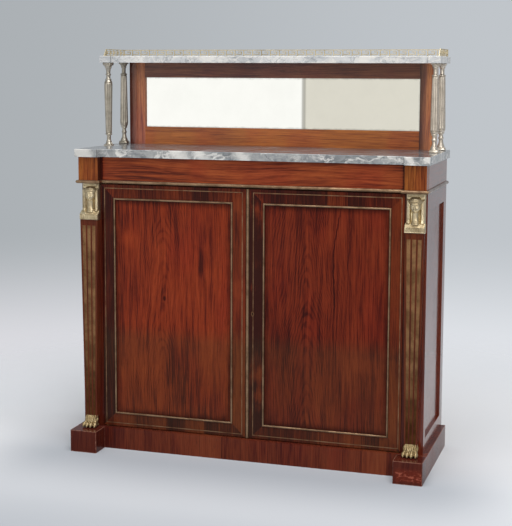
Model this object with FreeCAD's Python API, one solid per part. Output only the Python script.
import FreeCAD, Part

import math
import os

from FreeCAD import Vector

# Regency chiffonier: a low rosewood cupboard with two doors on a break-front plinth, term
# pilasters with brass-filled flutes between brass head mounts and paw feet, a marble top, and
# an upper stage with a mirror back, four brass columns and a marble shelf with a pierced gallery.
#
# Millimetres. +X is the viewer's right, +Y runs to the back, +Z is up. The origin is under the
# middle of the piece, at floor level. Depths are measured forward from the flat back.

# ---- Driving dimensions ------------------------------------------------------------------

# Plinth
plinth_width = 1110.0            # over the corner blocks
plinth_height = 68.0
plinth_front_ledge = 14.0        # plinth front stands this far before the carcass face
corner_block_step = 68.0         # corner blocks stand this far before the plinth front
plinth_front_thickness = 32.0
plinth_side_thickness = 20.0
corner_block_width = 87.0
corner_block_radius = 3.0        # worn vertical arrises of the corner blocks
glue_block_size = 34.0
glue_block_lift = 4.0            # blocks stop short of the floor
bottom_board_thickness = 18.0

# Carcass
plinth_ledge = 13.0              # plinth stands this far outside the carcass sides
carcass_depth = 338.0            # back to the face of the front stiles
door_opening_height = 771.0      # plinth top to the dust board
pilaster_bay_width = 66.0        # stile, pilaster and frieze block share this bay
side_thickness = 22.0
side_front_stile = 28.0
side_back_stile = 45.0
side_top_rail = 51.0
side_bottom_rail = 43.0
side_panel_recess = 7.0
side_panel_thickness = 7.0
front_stile_thickness = 20.0
groove_depth = 6.0               # panels stand this far inside their frames
back_board_thickness = 12.0
back_board_count = 3
back_board_gap = 0.5
inner_shelf_thickness = 16.0
inner_shelf_level = 372.0        # shelf top above the floor of the cupboard
inner_shelf_setback = 38.0       # shelf front behind the carcass face
shelf_end_clearance = 1.0
bearer_width = 12.0
bearer_height = 22.0

# Frieze and marble top
dust_board_thickness = 10.0
frieze_height = 72.0
frieze_step = 4.0                # frieze front stands this far before the front stiles
frieze_block_step = 22.0         # frieze blocks stand this far before the frieze front
frieze_thickness = 20.0
astragal_projection = 7.0
marble_thickness = 24.0
marble_overhang = 9.0
marble_arris = 2.0

# Doors
door_thickness = 20.0
door_setback = 1.0               # door faces behind the faces of the front stiles
door_side_gap = 1.5
door_bottom_gap = 2.5
door_top_gap = 3.5
door_panel_thickness = 9.0
door_panel_recess = 2.0
moulding_width = 5.5
moulding_height = 4.0
moulding_centre_x = 50.5         # middle of the piece to the middle of the raised moulding
moulding_hinge_inset = 40.5      # outer edge of the door to the middle of the moulding
moulding_bottom_inset = 42.5
moulding_top_inset = 44.5
stringing_offset = 33.0          # inlaid line this far outside the middle of the moulding
stringing_width = 2.4
stringing_depth = 1.0
meeting_strip_width = 10.0
meeting_strip_height = 5.0

# Pivot hinges
pivot_edge_distance = 10.0       # pin centre to the outer edge of the door
pivot_face_distance = 5.0        # pin centre behind the face of the door
pivot_pin_radius = 2.5
pivot_running_clearance = 0.06
pivot_pin_reach = 5.0            # how far a pin enters its socket plate and board
pivot_bore_clearance = 0.5       # round the pin where it enters the board
pivot_bore_end = 1.0             # beyond the end of the pin
pivot_plate_length = 46.0
pivot_plate_width = 9.0
pivot_plate_thickness = 3.0
plate_end_margin = 4.0           # plate end to the outer edge of the door

# Lock and bolts
lock_height = 387.0              # keyhole above the bottom of the doors
key_edge_distance = 21.0         # keyhole centre to the closing edge
lock_case_length = 36.0
lock_case_height = 60.0
lock_case_depth = 11.0
lock_wall = 2.0
lock_bolt_length = 26.0
lock_bolt_height = 16.0
lock_bolt_thickness = 5.0
lock_bolt_inset = 1.0            # retracted bolt behind the closing edge
lock_bolt_travel = 9.0
sliding_clearance = 0.3
keyhole_radius = 2.2
keyhole_drop = 5.5               # slot below the round part
escutcheon_width = 9.0
escutcheon_height = 16.0
escutcheon_thickness = 1.6
escutcheon_stand = 0.6           # plate stands this far off the door face
keep_plate_thickness = 1.5
keep_plate_margin = 0.5          # keep is narrower than the lock case by this at each side
bolt_end_clearance = 1.0         # beyond the end of a thrown bolt
bolt_hole_clearance = 0.9        # round the end of a slide bolt in its board
slide_bolt_length = 84.0
slide_bolt_width = 8.0
slide_bolt_thickness = 4.0
slide_bolt_travel = 10.0
slide_bolt_inset = 1.0           # retracted bolt end inside the edge of the door
slide_plate_width = 22.0
slide_plate_thickness = 2.0
slide_bridge_height = 8.0
slide_knob_radius = 4.0
slide_knob_height = 7.0
slide_plate_margin = 26.0        # plate centre to the closing edge of the left door

# Pilasters and their mounts
pilaster_thickness = 26.0
pilaster_top_width = 58.0
pilaster_bottom_width = 39.0
flute_count = 3
flute_margin = 7.0               # plain wood each side of the flutes at the top
flute_rib = 5.5                  # wood between two flutes at the top
flute_top_margin = 18.0
flute_bottom_margin = 6.0
flute_depth = 3.0
flute_crown = 1.2
head_mount_height = 113.0
head_mount_width = 60.0
chest_height = 28.0
chest_front_height = 17.0        # upright part of the chest, below its slope
chest_depth = 30.0               # chest block stands this far before the stile
headdress_depth = 13.0
headdress_inset = 1.0            # headdress is narrower than the chest by this at each side
headdress_fillet = 6.5
chin_level = 54.0                # above the foot of the mount
face_width = 36.0
face_height = 46.0
face_projection = 26.0
neck_width = 20.0
neck_projection = 11.0           # middle of the neck before the stile
headband_stand = 3.0             # headband is wider than the face by this at each side
headband_height = 8.0
crest_width = 48.0
crest_projection = 18.0
crest_fillet = 4.0
head_facets = 12
oval_end_angle = 72.0            # how far up and down the egg of the face is rounded
paw_height = 30.0
paw_width = 50.0                 # over the toes
paw_length = 68.0
ankle_width = 32.0               # at the foot of the pilaster
heel_width = 42.0
toe_radius = 6.5
toe_end_radius = 3.5
toe_end_length = 4.0             # rounded end of a toe
toe_root_level = 17.0            # middle of a toe where it leaves the ankle
knuckle_swell = 1.0              # knuckle is this much thicker than the toe
outer_toe_setback = 4.5          # outer toes end this far behind the inner ones
toe_count = 4
paw_facets = 10

# Upper stage
upper_stage_height = 266.0       # marble top to the underside of the upper shelf
shelf_end_overhang = 18.0        # middle of a column to the end of the shelf
upper_shelf_depth = 167.0
upper_shelf_thickness = 21.0
shelf_block_width = 38.0
shelf_block_step = 23.0
mirror_frame_gap = 2.5           # mirror frame to the square feet of the back columns
mirror_stile_width = 54.0
mirror_bottom_rail = 57.0
mirror_top_rail = 47.5
mirror_frame_back = 12.0         # depth of the back of the frame members
mirror_frame_thickness = 14.0
mirror_stile_crown = 6.0         # the uprights swell forward of the rails by this much
mirror_rebate = 6.0
mirror_rebate_depth = 5.0
mirror_glass_thickness = 3.0
mirror_glass_play = 0.5          # between the edge of the glass and its rebate
backboard_thickness = 6.0
backboard_margin = 4.0
column_inset = 23.0              # end of the marble top to the middle of a column
front_column_depth = 163.0
back_column_depth = 38.0
column_base_width = 27.0
column_base_height = 9.0
column_abacus_width = 25.0
column_abacus_height = 4.0
column_foot_radius = 13.2        # shaft radius at its foot
column_top_radius = 9.8          # shaft radius under the drum
column_neck_radius = 6.6         # drum above the shaft, and neck of the bell foot
column_bell_radius = 12.2
column_bell_lip = 3.0
column_bell_waist_radius = 8.2
column_bell_waist_level = 12.0   # levels of the turned foot are above the square base
column_bell_height = 22.0
column_knop_height = 7.0
column_lower_knop_radius = 8.8
column_lower_knop_level = 30.5
column_upper_knop_radius = 10.2
column_upper_knop_level = 44.5
column_shaft_level = 54.0
column_drum_height = 35.0        # top of the shaft to the underside of the abacus
column_collar_radius = 10.8
column_collar_height = 4.0
column_collar_slope = 1.0
column_cap_radius = 11.5
column_cap_height = 12.0
column_cap_lip = 2.0
column_flute_count = 14
column_flute_depth = 1.1

# Gallery
gallery_height = 22.0
gallery_thickness = 2.4
gallery_inset = 6.0
gallery_side_length = 164.0      # along the foot of a side run
gallery_rake = 18.0              # the front end leans back by this much
gallery_pitch = 30.0
gallery_bar = 2.6

# ---- Derived sizes and places ------------------------------------------------------------

plinth_half = plinth_width / 2
plinth_front_depth = carcass_depth + plinth_front_ledge
plinth_depth = plinth_front_depth + corner_block_step
back_y = plinth_depth / 2
block_inner_x = plinth_half - corner_block_width

carcass_half = plinth_half - plinth_ledge
carcass_low = plinth_height
carcass_high = carcass_low + door_opening_height
bay_inner_x = carcass_half - pilaster_bay_width
bay_centre_x = carcass_half - pilaster_bay_width / 2
inside_half = carcass_half - side_thickness

frieze_depth = carcass_depth + frieze_step
frieze_block_depth = frieze_depth + frieze_block_step
frieze_low = carcass_high + dust_board_thickness
frieze_high = frieze_low + frieze_height
marble_high = frieze_high + marble_thickness

door_low = carcass_low + door_bottom_gap
door_high = carcass_high - door_top_gap
door_face_depth = carcass_depth - door_setback
door_back_depth = door_face_depth - door_thickness
door_outer_x = bay_inner_x - door_side_gap
strip_half = meeting_strip_width / 2
right_closing_x = -strip_half
left_closing_x = right_closing_x - door_side_gap
pivot_x = door_outer_x - pivot_edge_distance
pivot_depth = door_face_depth - pivot_face_distance
lock_z = door_low + lock_height
slide_bolt_x = left_closing_x - slide_plate_margin
slide_bolt_rear = door_back_depth - slide_plate_thickness
slide_bolt_reach = (slide_bolt_travel - slide_bolt_inset + bolt_end_clearance
                    - min(door_bottom_gap, door_top_gap))

pilaster_low = carcass_low + paw_height
pilaster_high = carcass_high - head_mount_height
pilaster_face_depth = carcass_depth + pilaster_thickness

marble_half = carcass_half + marble_overhang
shelf_low = marble_high + upper_stage_height
shelf_high = shelf_low + upper_shelf_thickness
column_spacing = 2 * (marble_half - column_inset)
column_x = column_spacing / 2
upper_shelf_width = column_spacing + 2 * shelf_end_overhang
shelf_half = upper_shelf_width / 2
mirror_frame_width = column_spacing - column_base_width - 2 * mirror_frame_gap
mirror_sight_width = mirror_frame_width - 2 * mirror_stile_width
mirror_face_depth = mirror_frame_back + mirror_frame_thickness


# ---- Tools -------------------------------------------------------------------------------

def board(left, right, rear, front, low, high):
    """A rectangular board. rear and front are depths from the back of the piece."""
    return Part.makeBox(right - left, front - rear, high - low, Vector(left, back_y - front, low))


def prism(points, direction):
    """A straight prism over a closed outline."""
    outline = Part.makePolygon(points + [points[0]])
    return Part.Face(outline).extrude(direction)


def ring(centre, across, along, half_across, half_along, sides):
    """Corners of a many-sided oval about a centre, in the plane of two directions."""
    corners = []
    for step in range(sides):
        angle = 2 * math.pi * step / sides
        corners.append(centre + across * (half_across * math.cos(angle))
                       + along * (half_along * math.sin(angle)))
    return corners


def through_rings(rings):
    """A closed solid with flat sides through parallel rings of the same shape."""
    faces = [Part.Face(Part.makePolygon(end + [end[0]])) for end in (rings[0], rings[-1])]
    for lower, upper in zip(rings, rings[1:]):
        for index in range(len(lower)):
            after = (index + 1) % len(lower)
            side = [lower[index], lower[after], upper[after], upper[index]]
            faces.append(Part.Face(Part.makePolygon(side + [side[0]])))
    solid = Part.makeSolid(Part.makeShell(faces))
    if solid.Volume < 0:
        solid.reverse()
    return solid


def turned(profile, sides):
    """Turned work about Z from (radius, height) points, with flat sides in place of the round."""
    x_axis, y_axis = Vector(1, 0, 0), Vector(0, 1, 0)
    return through_rings([ring(Vector(0, 0, height), x_axis, y_axis, radius, radius, sides)
                          for radius, height in profile])


def oval_form(centre, half_width, half_depth, half_height, sides):
    """A many-sided egg, flat at its two ends."""
    x_axis, y_axis = Vector(1, 0, 0), Vector(0, 1, 0)
    bands = sides // 2
    steepest = math.radians(oval_end_angle)
    rings = []
    for step in range(bands + 1):
        angle = steepest * (2 * step / bands - 1)
        reach = math.cos(angle)
        middle = centre + Vector(0, 0, half_height * math.sin(angle) / math.sin(steepest))
        rings.append(ring(middle, x_axis, y_axis, half_width * reach, half_depth * reach, sides))
    return through_rings(rings)


def mirrored(shape):
    return shape.mirror(Vector(0, 0, 0), Vector(1, 0, 0))


def pair(shape):
    return Part.makeCompound([shape, mirrored(shape)])


def save(name, shape):
    shape.exportStep(os.path.join("parts", name + ".step"))


def breakfront_slab(half_width, block_inner, centre_depth, block_depth, low, high):
    """A slab with a straight back and two corner blocks that step forward."""
    plan = [
        (-half_width, 0.0),
        (half_width, 0.0),
        (half_width, block_depth),
        (block_inner, block_depth),
        (block_inner, centre_depth),
        (-block_inner, centre_depth),
        (-block_inner, block_depth),
        (-half_width, block_depth),
    ]
    points = [Vector(x, back_y - depth, low) for x, depth in plan]
    return prism(points, Vector(0, 0, high - low))


def soften_top(shape, radius):
    """Round the arrises of the top face."""
    top = shape.BoundBox.ZMax
    edges = [edge for edge in shape.Edges if all(abs(v.Z - top) < 1e-6 for v in edge.Vertexes)]
    return shape.makeFillet(radius, edges)


def upright_edges(shape, front_only_y=None):
    """Vertical edges, or only those on the plane y = front_only_y."""
    found = []
    for edge in shape.Edges:
        ends = edge.Vertexes
        if len(ends) != 2 or abs(ends[0].X - ends[1].X) > 1e-6 or abs(ends[0].Y - ends[1].Y) > 1e-6:
            continue
        if front_only_y is None or abs(ends[0].Y - front_only_y) < 1e-6:
            found.append(edge)
    return found


def half_round(width, height):
    """Moulding section in XZ: flat on the ground, standing up to height, centred on X = 0."""
    left = Vector(-width / 2, 0, 0)
    right = Vector(width / 2, 0, 0)
    crown = Part.Arc(left, Vector(0, 0, height), right).toShape()
    return Part.Face(Part.Wire([crown, Part.makeLine(right, left)]))


def side_round(projection, height):
    """Moulding section in XZ: a D lying against X = 0, with a half-round nose."""
    radius = height / 2
    flat = projection - radius
    low = Vector(flat, 0, 0)
    high = Vector(flat, 0, height)
    nose = Part.Arc(low, Vector(projection, 0, radius), high).toShape()
    back = Part.makePolygon([high, Vector(0, 0, height), Vector(0, 0, 0), low])
    return Part.Face(Part.Wire([nose] + back.Edges))


def mitred_run(corners, section, closed):
    """Straight lengths of moulding, mitred at each corner of a plan outline in XY.

    The section's +X lies on the right of the direction of travel and its +Z stays up.
    """
    box = section.BoundBox
    reach = 1.5 * max(abs(box.XMin), abs(box.XMax))
    legs = list(zip(corners, corners[1:] + corners[:1]))
    if not closed:
        legs = legs[:-1]
    outward = []
    for start, end in legs:
        along = (end - start).normalize()
        outward.append(Vector(along.y, -along.x, 0))
    pieces = []
    for index, (start, end) in enumerate(legs):
        normal = outward[index]
        before = outward[index - 1] if closed or index > 0 else normal
        after = outward[(index + 1) % len(legs)] if closed or index < len(legs) - 1 else normal
        start_mitre = (before + normal) * (1 / (1 + before.dot(normal)))
        end_mitre = (after + normal) * (1 / (1 + after.dot(normal)))
        length = (end - start).Length
        bar = section.extrude(Vector(0, length + 2 * reach, 0))
        bar.translate(Vector(0, -reach, 0))
        bar.rotate(Vector(0, 0, 0), Vector(0, 0, 1), math.degrees(math.atan2(normal.y, normal.x)))
        bar.translate(start)
        lift = Vector(0, 0, box.ZMin - 1)
        trim = prism([
            start - start_mitre * reach + lift,
            start + start_mitre * reach + lift,
            end + end_mitre * reach + lift,
            end - end_mitre * reach + lift,
        ], Vector(0, 0, box.ZLength + 2))
        pieces.append(bar.common(trim))
    return pieces


def stand_on_face(shape, face_depth):
    """Turn work laid out in XY so that its Y is up and its Z faces forward from face_depth."""
    turned = shape.copy()
    turned.rotate(Vector(0, 0, 0), Vector(1, 0, 0), 90)
    turned.translate(Vector(0, back_y - face_depth, 0))
    return turned


def rectangle(left, right, low, high):
    return [Vector(left, low, 0), Vector(left, high, 0), Vector(right, high, 0), Vector(right, low, 0)]


def framed(left, right, rear, front, low, high, stile_left, stile_right, rail_low, rail_high):
    """Four frame members: two full-height stiles and the two rails between them."""
    inner_left = left + stile_left
    inner_right = right - stile_right
    return [
        board(left, inner_left, rear, front, low, high),
        board(inner_right, right, rear, front, low, high),
        board(inner_left, inner_right, rear, front, low, low + rail_low),
        board(inner_left, inner_right, rear, front, high - rail_high, high),
    ]


# ---- Plinth ------------------------------------------------------------------------------

def make_plinth():
    front_rear = plinth_front_depth - plinth_front_thickness
    front = board(-plinth_half, plinth_half, front_rear, plinth_front_depth, 0, plinth_height)
    save("plinth_front", front.cut(Part.makeCompound(socket_cuts(carcass_low, -1))))

    block = board(block_inner_x, plinth_half, plinth_front_depth, plinth_depth, 0, plinth_height)
    block = block.makeFillet(corner_block_radius, upright_edges(block, back_y - plinth_depth))
    save("plinth_blocks", pair(block))

    side_inner = plinth_half - plinth_side_thickness
    save("plinth_sides", pair(board(side_inner, plinth_half, 0, front_rear, 0, plinth_height)))
    save("plinth_back", board(-side_inner, side_inner, 0, plinth_side_thickness, 0, plinth_height))

    bottom_low = plinth_height - bottom_board_thickness
    bottom = board(-side_inner, side_inner, plinth_side_thickness, front_rear, bottom_low, plinth_height)
    save("bottom_board", bottom.cut(bolt_hole(carcass_low - slide_bolt_reach, carcass_low)))

    corners = []
    for rear in (plinth_side_thickness, front_rear - glue_block_size):
        corners.append(board(side_inner - glue_block_size, side_inner,
                             rear, rear + glue_block_size, glue_block_lift, bottom_low))
    corners.append(board(-glue_block_size / 2, glue_block_size / 2,
                         front_rear - glue_block_size, front_rear,
                         glue_block_lift, bottom_low))
    save("glue_blocks", Part.makeCompound(corners + [mirrored(block) for block in corners[:2]]))


# ---- Carcass -----------------------------------------------------------------------------

def side_frame():
    """Framed right side with a groove for its recessed panel."""
    opening_low = carcass_low + side_bottom_rail
    opening_high = carcass_high - side_top_rail
    opening_rear = side_back_stile
    opening_front = carcass_depth - side_front_stile
    members = [
        board(inside_half, carcass_half, 0, opening_rear, carcass_low, carcass_high),
        board(inside_half, carcass_half, opening_front, carcass_depth, carcass_low, carcass_high),
        board(inside_half, carcass_half, opening_rear, opening_front, carcass_low, opening_low),
        board(inside_half, carcass_half, opening_rear, opening_front, opening_high, carcass_high),
    ]
    panel_outer = carcass_half - side_panel_recess
    panel = board(panel_outer - side_panel_thickness, panel_outer,
                  opening_rear - groove_depth, opening_front + groove_depth,
                  opening_low - groove_depth, opening_high + groove_depth)
    return Part.makeCompound([member.cut(panel) for member in members]), panel


def make_carcass():
    frame, panel = side_frame()
    save("side_frame_right", frame)
    save("side_frame_left", mirrored(frame))
    save("side_panel_right", panel)
    save("side_panel_left", mirrored(panel))

    stile = board(bay_inner_x, inside_half, carcass_depth - front_stile_thickness, carcass_depth,
                  carcass_low, carcass_high)
    save("front_stiles", pair(stile))

    span = 2 * inside_half
    width = (span - back_board_gap * (back_board_count - 1)) / back_board_count
    boards = []
    for index in range(back_board_count):
        left = -inside_half + index * (width + back_board_gap)
        boards.append(board(left, left + width, 0, back_board_thickness, carcass_low, carcass_high))
    save("back_boards", Part.makeCompound(boards))

    shelf_top = carcass_low + inner_shelf_level
    shelf_bottom = shelf_top - inner_shelf_thickness
    shelf_front = carcass_depth - inner_shelf_setback
    shelf_half_length = inside_half - shelf_end_clearance
    shelf = board(-shelf_half_length, shelf_half_length, back_board_thickness, shelf_front,
                  shelf_bottom, shelf_top)
    save("inner_shelf", shelf)
    bearer = board(inside_half - bearer_width, inside_half, back_board_thickness, shelf_front,
                   shelf_bottom - bearer_height, shelf_bottom)
    save("shelf_bearers", pair(bearer))


# ---- Frieze and marble top ---------------------------------------------------------------

def make_frieze():
    dust = breakfront_slab(carcass_half, bay_inner_x, frieze_depth, frieze_block_depth,
                           carcass_high, frieze_low)
    cuts = socket_cuts(carcass_high, 1) + [bolt_hole(carcass_high, carcass_high + slide_bolt_reach)]
    save("dust_board", dust.cut(Part.makeCompound(cuts)))

    front_rear = frieze_depth - frieze_thickness
    save("frieze_front", board(-bay_inner_x, bay_inner_x, front_rear, frieze_depth,
                               frieze_low, frieze_high))
    save("frieze_blocks", pair(board(bay_inner_x, carcass_half, front_rear, frieze_block_depth,
                                     frieze_low, frieze_high)))
    save("frieze_sides", pair(board(inside_half, carcass_half, 0, front_rear,
                                    frieze_low, frieze_high)))
    save("frieze_back", board(-inside_half, inside_half, 0, frieze_thickness,
                              frieze_low, frieze_high))

    plan = [
        (-carcass_half, 0.0),
        (-carcass_half, frieze_block_depth),
        (-bay_inner_x, frieze_block_depth),
        (-bay_inner_x, frieze_depth),
        (bay_inner_x, frieze_depth),
        (bay_inner_x, frieze_block_depth),
        (carcass_half, frieze_block_depth),
        (carcass_half, 0.0),
    ]
    corners = [Vector(x, back_y - depth, carcass_high) for x, depth in plan]
    section = side_round(astragal_projection, dust_board_thickness)
    save("brass_astragal", Part.makeCompound(mitred_run(corners, section, closed=False)))

    marble = breakfront_slab(marble_half, bay_inner_x,
                             frieze_depth + marble_overhang, frieze_block_depth + marble_overhang,
                             frieze_high, marble_high)
    save("marble_top", soften_top(marble, marble_arris))


# ---- Pivot hinges ------------------------------------------------------------------------

def pivot_plate(low, high):
    """Hinge plate of the right door, between two levels."""
    half = pivot_plate_width / 2
    right = door_outer_x - plate_end_margin
    return board(right - pivot_plate_length, right, pivot_depth - half, pivot_depth + half, low, high)


def pivot_rod(radius, low, high):
    return Part.makeCylinder(radius, high - low, Vector(pivot_x, back_y - pivot_depth, low))


def socket_cuts(face_level, inward):
    """Recesses for the two socket plates in the board above or below the doors."""
    plate_end = face_level + inward * pivot_plate_thickness
    bore_end = face_level + inward * (pivot_pin_reach + pivot_bore_end)
    recess = pivot_plate(min(face_level, plate_end), max(face_level, plate_end))
    bore = pivot_rod(pivot_pin_radius + pivot_bore_clearance,
                     min(face_level, bore_end), max(face_level, bore_end))
    cut = recess.fuse(bore)
    return [cut, mirrored(cut)]


def make_hinge_sockets():
    hole = pivot_pin_radius + pivot_running_clearance
    plates = []
    for low, high in ((carcass_low - pivot_plate_thickness, carcass_low),
                      (carcass_high, carcass_high + pivot_plate_thickness)):
        plate = pivot_plate(low, high).cut(pivot_rod(hole, low, high))
        plates += [plate, mirrored(plate)]
    save("hinge_sockets", Part.makeCompound(plates))


def hinge_pivots():
    """The two plates let into the right door's ends, each with its pin."""
    lower = pivot_plate(door_low, door_low + pivot_plate_thickness)
    lower = lower.fuse(pivot_rod(pivot_pin_radius, carcass_low - pivot_pin_reach, door_low))
    upper = pivot_plate(door_high - pivot_plate_thickness, door_high)
    upper = upper.fuse(pivot_rod(pivot_pin_radius, door_high, carcass_high + pivot_pin_reach))
    return [lower.removeSplitter(), upper.removeSplitter()]


# ---- Doors -------------------------------------------------------------------------------

def door_parts(closing_x):
    """Frame members, panel, raised moulding and inlaid line of a door hung on the right.

    The ornament keeps its place however far the closing edge reaches past the middle.
    """
    left = moulding_centre_x
    right = door_outer_x - moulding_hinge_inset
    low = door_low + moulding_bottom_inset
    high = door_high - moulding_top_inset
    half = moulding_width / 2

    members = framed(closing_x, door_outer_x, door_back_depth, door_face_depth, door_low, door_high,
                     left + half - closing_x, moulding_hinge_inset + half,
                     moulding_bottom_inset + half, moulding_top_inset + half)
    lap = groove_depth - half
    panel_front = door_face_depth - door_panel_recess
    panel = board(left - lap, right + lap, panel_front - door_panel_thickness, panel_front,
                  low - lap, high + lap)

    lengths = mitred_run(rectangle(left, right, low, high),
                         half_round(moulding_width, moulding_height), closed=True)
    moulding = stand_on_face(Part.makeCompound(lengths), door_face_depth)

    line_rear = door_face_depth - stringing_depth
    outer = stringing_offset + stringing_width / 2
    inner = stringing_offset - stringing_width / 2
    line_outer = board(left - outer, right + outer, line_rear, door_face_depth, low - outer, high + outer)
    line_inner = board(left - inner, right + inner, line_rear, door_face_depth, low - inner, high + inner)
    stringing = line_outer.cut(line_inner)

    members = [member.cut(panel).cut(stringing) for member in members]
    return Part.makeCompound(members), panel, moulding, stringing


def make_left_door():
    frame, panel, moulding, stringing = [mirrored(shape) for shape in door_parts(-left_closing_x)]
    pivots = Part.makeCompound([mirrored(pivot) for pivot in hinge_pivots()])
    keep = lock_keep()
    bolt_pocket = lock_bolt_space(left_closing_x - lock_bolt_travel - bolt_end_clearance, left_closing_x)
    save("door_left_frame", frame.cut(Part.makeCompound([pivots, keep, bolt_pocket])))
    save("door_left_panel", panel)
    save("door_left_moulding", moulding)
    save("door_left_stringing", stringing)
    save("door_left_pivots", pivots)
    save("lock_keep", keep.cut(bolt_pocket))
    make_slide_bolts()


def make_right_door():
    frame, panel, moulding, stringing = door_parts(right_closing_x)
    pivots = Part.makeCompound(hinge_pivots())
    case = lock_case_block()
    key_way = keyhole(door_back_depth, door_face_depth)
    save("door_right_frame", frame.cut(Part.makeCompound([pivots, case, key_way, escutcheon_blank()])))
    save("door_right_panel", panel)
    save("door_right_moulding", moulding)
    save("door_right_stringing", stringing.cut(escutcheon_blank()))
    save("door_right_pivots", pivots)

    strip = mitred_run([Vector(0, door_low, 0), Vector(0, door_high, 0)],
                       half_round(meeting_strip_width, meeting_strip_height), closed=False)
    save("meeting_strip", stand_on_face(strip[0], door_face_depth))
    make_lock(case)


# ---- Lock --------------------------------------------------------------------------------

def lock_case_block():
    """Outside of the lock case, let into the back of the right door's closing stile."""
    return board(right_closing_x, right_closing_x + lock_case_length,
                 door_back_depth, door_back_depth + lock_case_depth,
                 lock_z - lock_case_height / 2, lock_z + lock_case_height / 2)


def lock_bolt_space(left, right):
    """The passage that the lock bolt needs, with its clearance."""
    middle = door_back_depth + lock_case_depth / 2
    half = lock_bolt_thickness / 2 + sliding_clearance
    half_height = lock_bolt_height / 2 + sliding_clearance
    return board(left, right, middle - half, middle + half, lock_z - half_height, lock_z + half_height)


def lock_keep():
    """Strike plate let into the closing edge of the left door."""
    middle = door_back_depth + lock_case_depth / 2
    half = lock_case_depth / 2 - keep_plate_margin
    return board(left_closing_x - keep_plate_thickness, left_closing_x, middle - half, middle + half,
                 lock_z - lock_case_height / 2, lock_z + lock_case_height / 2)


def keyhole(rear, front):
    """A round key passage with a slot below it, along the depth of the door."""
    x = right_closing_x + key_edge_distance
    round_part = Part.makeCylinder(keyhole_radius, front - rear,
                                   Vector(x, back_y - rear, lock_z), Vector(0, -1, 0))
    slot = board(x - keyhole_radius / 2, x + keyhole_radius / 2, rear, front,
                 lock_z - keyhole_drop, lock_z)
    return round_part.fuse(slot)


def escutcheon_blank():
    """Oval plate let into the door face round the keyhole, standing slightly proud."""
    long_axis = escutcheon_height / 2
    oval = Part.Ellipse(Vector(0, 0, 0), long_axis, escutcheon_width / 2)
    plate = Part.Face(Part.Wire(oval.toShape())).extrude(Vector(0, 0, escutcheon_thickness))
    plate.rotate(Vector(0, 0, 0), Vector(0, 0, 1), 90)
    x = right_closing_x + key_edge_distance
    plate.translate(Vector(x, lock_z - keyhole_radius / 2, 0))
    return stand_on_face(plate, door_face_depth + escutcheon_stand - escutcheon_thickness)


def make_lock(case):
    inner = board(right_closing_x + lock_wall, right_closing_x + lock_case_length - lock_wall,
                  door_back_depth + lock_wall, door_back_depth + lock_case_depth - lock_wall,
                  lock_z - lock_case_height / 2 + lock_wall, lock_z + lock_case_height / 2 - lock_wall)
    mouth = lock_bolt_space(right_closing_x, right_closing_x + lock_wall)
    entry = keyhole(door_back_depth + lock_case_depth - lock_wall, door_back_depth + lock_case_depth)
    save("lock_case", case.cut(inner).cut(mouth).cut(entry))

    middle = door_back_depth + lock_case_depth / 2
    left = right_closing_x + lock_bolt_inset
    half = lock_bolt_thickness / 2
    save("lock_bolt", board(left, left + lock_bolt_length, middle - half, middle + half,
                            lock_z - lock_bolt_height / 2, lock_z + lock_bolt_height / 2))

    save("keyhole_escutcheon", escutcheon_blank().cut(
        keyhole(door_back_depth, door_face_depth + escutcheon_thickness)))


# ---- Slide bolts on the back of the left door --------------------------------------------

def bolt_hole(low, high):
    """Hole in a board for the end of a slide bolt, with clearance round it."""
    half = slide_bolt_width / 2 + bolt_hole_clearance
    front = slide_bolt_rear - sliding_clearance + bolt_hole_clearance
    rear = slide_bolt_rear - sliding_clearance - slide_bolt_thickness - bolt_hole_clearance
    return board(slide_bolt_x - half, slide_bolt_x + half, rear, front, low, high)


def make_slide_bolts():
    """Upper bolt and guide are modelled, and turned over for the lower ones."""
    end = door_high - slide_bolt_inset
    tail = end - slide_bolt_length
    half = slide_bolt_width / 2
    front = slide_bolt_rear - sliding_clearance
    rear = front - slide_bolt_thickness
    rod = board(slide_bolt_x - half, slide_bolt_x + half, rear, front, tail, end)
    knob_z = (tail + end) / 2 - slide_bolt_travel / 2
    knob = Part.makeCylinder(slide_knob_radius, slide_knob_height,
                             Vector(slide_bolt_x, back_y - rear, knob_z), Vector(0, 1, 0))
    upper_bolt = rod.fuse(knob)

    plate_half = slide_plate_width / 2
    plate = board(slide_bolt_x - plate_half, slide_bolt_x + plate_half,
                  slide_bolt_rear, door_back_depth, tail - slide_bolt_inset, door_high)
    passage = board(slide_bolt_x - half - sliding_clearance, slide_bolt_x + half + sliding_clearance,
                    rear - sliding_clearance, slide_bolt_rear, tail - slide_bolt_inset, door_high)
    bridge_half = half + 2 * slide_plate_thickness
    guide = plate
    for low in (tail + slide_plate_thickness,
                door_high - slide_bolt_inset - slide_bridge_height - slide_plate_thickness):
        bridge = board(slide_bolt_x - bridge_half, slide_bolt_x + bridge_half,
                       rear - sliding_clearance - slide_plate_thickness, slide_bolt_rear,
                       low, low + slide_bridge_height)
        guide = guide.fuse(bridge.cut(passage))
    guide = guide.removeSplitter()

    middle = Vector(0, 0, (door_low + door_high) / 2)
    save("top_bolt", upper_bolt)
    save("bottom_bolt", upper_bolt.mirror(middle, Vector(0, 0, 1)))
    save("bolt_guides", Part.makeCompound([guide, guide.mirror(middle, Vector(0, 0, 1))]))


# ---- Pilasters and their brass mounts ----------------------------------------------------

def taper(half_top, half_bottom, low, high, rear, front):
    """A board that narrows evenly towards its foot, centred on X = 0."""
    points = [
        Vector(-half_bottom, back_y - front, low),
        Vector(half_bottom, back_y - front, low),
        Vector(half_top, back_y - front, high),
        Vector(-half_top, back_y - front, high),
    ]
    return prism(points, Vector(0, front - rear, 0))


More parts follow.
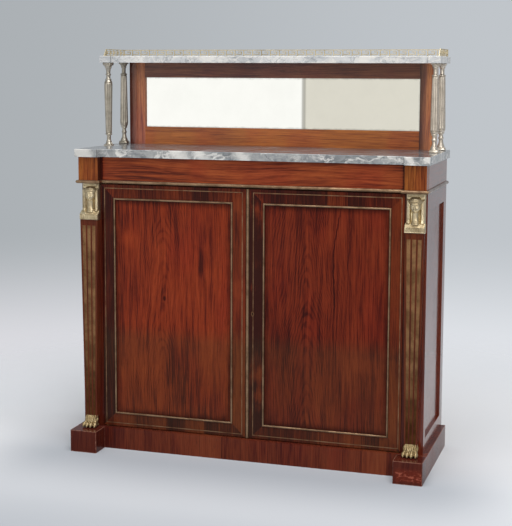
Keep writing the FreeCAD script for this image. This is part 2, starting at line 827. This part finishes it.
def flute(index, low, high):
    """One tapered brass strip of a pilaster, with a crowned face."""
    fluted_top = pilaster_top_width - 2 * flute_margin
    flute_top = (fluted_top - flute_rib * (flute_count - 1)) / flute_count
    place = index - (flute_count - 1) / 2

    def section(level):
        share = (level - pilaster_low) / (pilaster_high - pilaster_low)
        width = pilaster_bottom_width + share * (pilaster_top_width - pilaster_bottom_width)
        scale = width / pilaster_top_width
        centre = place * (flute_top + flute_rib) * scale
        half = flute_top * scale / 2
        floor_y = back_y - pilaster_face_depth + flute_depth
        face_y = back_y - pilaster_face_depth
        corners = [
            Vector(centre - half, floor_y, level),
            Vector(centre + half, floor_y, level),
            Vector(centre + half, face_y, level),
            Vector(centre, face_y - flute_crown, level),
            Vector(centre - half, face_y, level),
        ]
        return Part.makePolygon(corners + [corners[0]])

    return Part.makeLoft([section(low), section(high)], True, True)


def pilaster():
    shaft = taper(pilaster_top_width / 2, pilaster_bottom_width / 2, pilaster_low, pilaster_high,
                  carcass_depth, pilaster_face_depth)
    low = pilaster_low + flute_bottom_margin
    high = pilaster_high - flute_top_margin
    strips = [flute(index, low, high) for index in range(flute_count)]
    grooves = Part.makeCompound(strips)
    return shaft.cut(grooves), grooves


def head_mount():
    """Brass term head: an oval face under a square headdress, on a neck and a chest block."""
    half = head_mount_width / 2
    low = pilaster_high
    high = carcass_high
    rear_y = back_y - carcass_depth
    chin = low + chin_level
    brow = chin + face_height

    chest_points = [
        Vector(-half, rear_y, low), Vector(-half, rear_y - chest_depth, low),
        Vector(-half, rear_y - chest_depth, low + chest_front_height),
        Vector(-half, rear_y - headdress_depth, low + chest_height),
        Vector(-half, rear_y, low + chest_height),
    ]
    chest = prism(chest_points, Vector(2 * half, 0, 0))
    cloth_half = half - headdress_inset
    cloth = board(-cloth_half, cloth_half, carcass_depth, carcass_depth + headdress_depth,
                  low + chest_height, high)
    cloth = cloth.makeFillet(headdress_fillet, upright_edges(cloth, rear_y - headdress_depth))

    neck_y = rear_y - neck_projection
    neck = turned([(neck_width / 2, low + chest_front_height), (neck_width / 2, (chin + brow) / 2)],
                  head_facets)
    neck.translate(Vector(0, neck_y, 0))
    face_y = rear_y - face_projection / 2
    face = oval_form(Vector(0, face_y, (chin + brow) / 2),
                     face_width / 2, face_projection / 2, face_height / 2, head_facets)
    band = ring(Vector(0, face_y, brow - headband_height), Vector(1, 0, 0), Vector(0, 1, 0),
                face_width / 2 + headband_stand, face_projection / 2, head_facets)
    band = prism(band, Vector(0, 0, headband_height))
    crest = board(-crest_width / 2, crest_width / 2, carcass_depth, carcass_depth + crest_projection,
                  brow, high)
    crest = crest.makeFillet(crest_fillet, upright_edges(crest, rear_y - crest_projection))

    mount = chest.fuse([cloth, neck, face, band, crest])
    behind = board(-half, half, 0, carcass_depth, low, high)
    return mount.cut(behind).removeSplitter()


def toe(root, tip):
    """One toe: it swells at the knuckle and rounds in at its end."""
    along = (tip - root).normalize()
    across = Vector(along.y, -along.x, 0).normalize()
    upward = across.cross(along)
    length = (tip - root).Length
    knuckle = toe_radius + knuckle_swell
    steps = [(0, toe_radius), (length / 2, knuckle), (length, toe_radius),
             (length + toe_end_length, toe_end_radius)]
    return through_rings([ring(root + along * reach, across, upward, radius, radius, paw_facets)
                          for reach, radius in steps])


def paw_foot():
    """Brass lion's paw: an ankle that spreads into toes fanned over the plinth block."""
    low = carcass_low
    ankle_y = back_y - carcass_depth - pilaster_thickness / 2
    ankle = turned([(heel_width / 2, low), (ankle_width / 2, low + paw_height)], paw_facets)
    ankle.translate(Vector(0, ankle_y, 0))
    reach = paw_length - pilaster_thickness / 2 - toe_end_length
    spread = (paw_width - 2 * toe_radius) / (toe_count - 1)
    root_spread = (ankle_width - 2 * toe_radius) / (toe_count - 1)
    toes = []
    for index in range(toe_count):
        place = index - (toe_count - 1) / 2
        outward = abs(place) / ((toe_count - 1) / 2)
        root = Vector(place * root_spread, ankle_y, low + toe_root_level)
        tip = Vector(place * spread, ankle_y - reach + outer_toe_setback * outward, low + toe_radius)
        toes.append(toe(root, tip))
    foot = ankle.fuse(toes)
    keep = board(-paw_width, paw_width, carcass_depth, plinth_depth, low, low + paw_height)
    return foot.common(keep).removeSplitter()


def make_pilasters():
    shaft, flutes = pilaster()
    for side, shift in (("left", -bay_centre_x), ("right", bay_centre_x)):
        for name, shape in (("pilaster_", shaft), ("pilaster_flutes_", flutes),
                            ("head_mount_", head_mount()), ("paw_foot_", paw_foot())):
            placed = shape.copy()
            placed.translate(Vector(shift, 0, 0))
            save(name + side, placed)


# ---- Upper stage -------------------------------------------------------------------------

def crowned_stile(left, right, low, high):
    """Upright of the mirror frame, with a face that swells forward across its width."""
    back = back_y - mirror_frame_back
    face = back_y - mirror_face_depth
    middle = Vector((left + right) / 2, face - mirror_stile_crown, low)
    crown = Part.Arc(Vector(left, face, low), middle, Vector(right, face, low)).toShape()
    rest = Part.makePolygon([
        Vector(right, face, low), Vector(right, back, low),
        Vector(left, back, low), Vector(left, face, low),
    ])
    return Part.Face(Part.Wire([crown] + rest.Edges)).extrude(Vector(0, 0, high - low))


def make_mirror():
    half = mirror_frame_width / 2
    sight_half = mirror_sight_width / 2
    sight_low = marble_high + mirror_bottom_rail
    sight_high = shelf_low - mirror_top_rail
    rebate = board(-sight_half - mirror_rebate, sight_half + mirror_rebate,
                   mirror_frame_back, mirror_frame_back + mirror_rebate_depth,
                   sight_low - mirror_rebate, sight_high + mirror_rebate)
    members = [
        crowned_stile(-half, -sight_half, marble_high, shelf_low),
        crowned_stile(sight_half, half, marble_high, shelf_low),
        board(-sight_half, sight_half, mirror_frame_back, mirror_face_depth, marble_high, sight_low),
        board(-sight_half, sight_half, mirror_frame_back, mirror_face_depth, sight_high, shelf_low),
    ]
    save("mirror_frame", Part.makeCompound([member.cut(rebate) for member in members]))

    glass_front = mirror_frame_back + mirror_rebate_depth
    lap = mirror_rebate - mirror_glass_play
    save("mirror_glass", board(-sight_half - lap, sight_half + lap,
                               glass_front - mirror_glass_thickness, glass_front,
                               sight_low - lap, sight_high + lap))
    save("mirror_backboard", board(-half + backboard_margin, half - backboard_margin,
                                   mirror_frame_back - backboard_thickness, mirror_frame_back,
                                   marble_high, shelf_low - backboard_margin))


def fluted_shaft(foot, top):
    """Tapered shaft whose hollow flutes meet at sharp arrises."""
    hollow = (0.0, 0.75, 1.0, 0.75)

    def section(radius, height):
        points = []
        for step in range(len(hollow) * column_flute_count):
            angle = 2 * math.pi * step / (len(hollow) * column_flute_count)
            reach = radius - column_flute_depth * hollow[step % len(hollow)]
            points.append(Vector(reach * math.cos(angle), reach * math.sin(angle), height))
        return Part.makePolygon(points + [points[0]])

    return Part.makeLoft([section(column_foot_radius, foot), section(column_top_radius, top)], True, True)


def column():
    """Turned brass column: square foot, bell, fluted shaft, drum and square abacus."""
    foot = column_base_height
    top = upper_stage_height - column_abacus_height
    neck = column_neck_radius
    shaft_foot = foot + column_shaft_level
    shaft_top = top - column_drum_height
    sides = 2 * column_flute_count

    def knop(radius, level):
        half = column_knop_height / 2
        return [(neck, foot + level - half), (radius, foot + level), (neck, foot + level + half)]

    lower = turned([
        (column_bell_radius, foot), (column_bell_radius, foot + column_bell_lip),
        (column_bell_waist_radius, foot + column_bell_waist_level), (neck, foot + column_bell_height),
        *knop(column_lower_knop_radius, column_lower_knop_level),
        *knop(column_upper_knop_radius, column_upper_knop_level),
        (column_foot_radius, shaft_foot),
    ], sides)
    upper = turned([
        (column_collar_radius, shaft_top), (column_collar_radius, shaft_top + column_collar_height),
        (neck, shaft_top + column_collar_height + column_collar_slope), (neck, top - column_cap_height),
        (column_cap_radius, top - column_cap_lip), (column_cap_radius, top),
    ], sides)
    base_half = column_base_width / 2
    cap_half = column_abacus_width / 2
    base = Part.makeBox(2 * base_half, 2 * base_half, foot, Vector(-base_half, -base_half, 0))
    abacus = Part.makeBox(2 * cap_half, 2 * cap_half, column_abacus_height,
                          Vector(-cap_half, -cap_half, top))
    return lower.fuse([fluted_shaft(shaft_foot, shaft_top), upper, base, abacus])


def make_columns():
    """The front left column has been put back upside down, so its foot is under the shelf."""
    turned = column()
    upended = turned.copy()
    upended.rotate(Vector(0, 0, upper_stage_height / 2), Vector(1, 0, 0), 180)
    for row, depth in (("front", front_column_depth), ("back", back_column_depth)):
        for side, x in (("left", -column_x), ("right", column_x)):
            placed = (upended if (row, side) == ("front", "left") else turned).copy()
            placed.translate(Vector(x, back_y - depth, marble_high))
            save("column_" + row + "_" + side, placed)


def make_upper_shelf():
    slab = breakfront_slab(shelf_half, shelf_half - shelf_block_width, upper_shelf_depth,
                           upper_shelf_depth + shelf_block_step, shelf_low, shelf_high)
    save("upper_shelf", soften_top(slab, marble_arris))


# ---- Pierced gallery ---------------------------------------------------------------------

def key_hole(start, pitch):
    """Opening of one Greek key unit: a cell with a hook that turns in on itself."""
    bar = gallery_bar
    low = bar
    high = gallery_height - bar
    clear = high - low
    arm_low = low + (clear - bar) / 4
    arm_high = high - (clear - bar) / 4
    left = start + bar
    right = start + pitch
    hook_right = right - (pitch - bar) / 5
    hook_left = left + (pitch - bar) / 3
    outline = [
        (left, low), (right, low), (right, high), (left, high),
        (left, arm_low + bar), (hook_right - bar, arm_low + bar), (hook_right - bar, arm_high - bar),
        (hook_left, arm_high - bar), (hook_left, arm_high), (hook_right, arm_high),
        (hook_right, arm_low), (left, arm_low),
    ]
    points = [Vector(x, 0, z) for x, z in outline]
    return Part.makePolygon(points + [points[0]])


def fret(length, rake):
    """Pierced strip in XZ from X = 0, with its far end leaning back by rake at the top."""
    fretted = length - rake - 2 * gallery_bar
    count = max(1, round(fretted / gallery_pitch))
    pitch = fretted / count
    points = [
        Vector(0, 0, 0), Vector(length, 0, 0),
        Vector(length - rake, 0, gallery_height), Vector(0, 0, gallery_height),
    ]
    outline = Part.makePolygon(points + [points[0]])
    holes = [key_hole(index * pitch, pitch) for index in range(count)]
    strip = Part.Face([outline] + holes)
    return strip.extrude(Vector(0, gallery_thickness, 0))


def make_gallery():
    half = shelf_half - gallery_inset
    back = fret(2 * half, 0.0)
    back.translate(Vector(-half, back_y - gallery_inset - gallery_thickness, shelf_high))
    save("gallery_back", back)

    side = fret(gallery_side_length, gallery_rake)
    side.rotate(Vector(0, 0, 0), Vector(0, 0, 1), -90)
    side.translate(Vector(half - gallery_thickness, back_y - gallery_inset - gallery_thickness, shelf_high))
    save("gallery_right", side)
    save("gallery_left", mirrored(side))


# ---- Build -------------------------------------------------------------------------------

os.makedirs("parts", exist_ok=True)
make_plinth()
make_carcass()
make_frieze()
make_hinge_sockets()
make_left_door()
make_right_door()
make_pilasters()
make_mirror()
make_columns()
make_upper_shelf()
make_gallery()
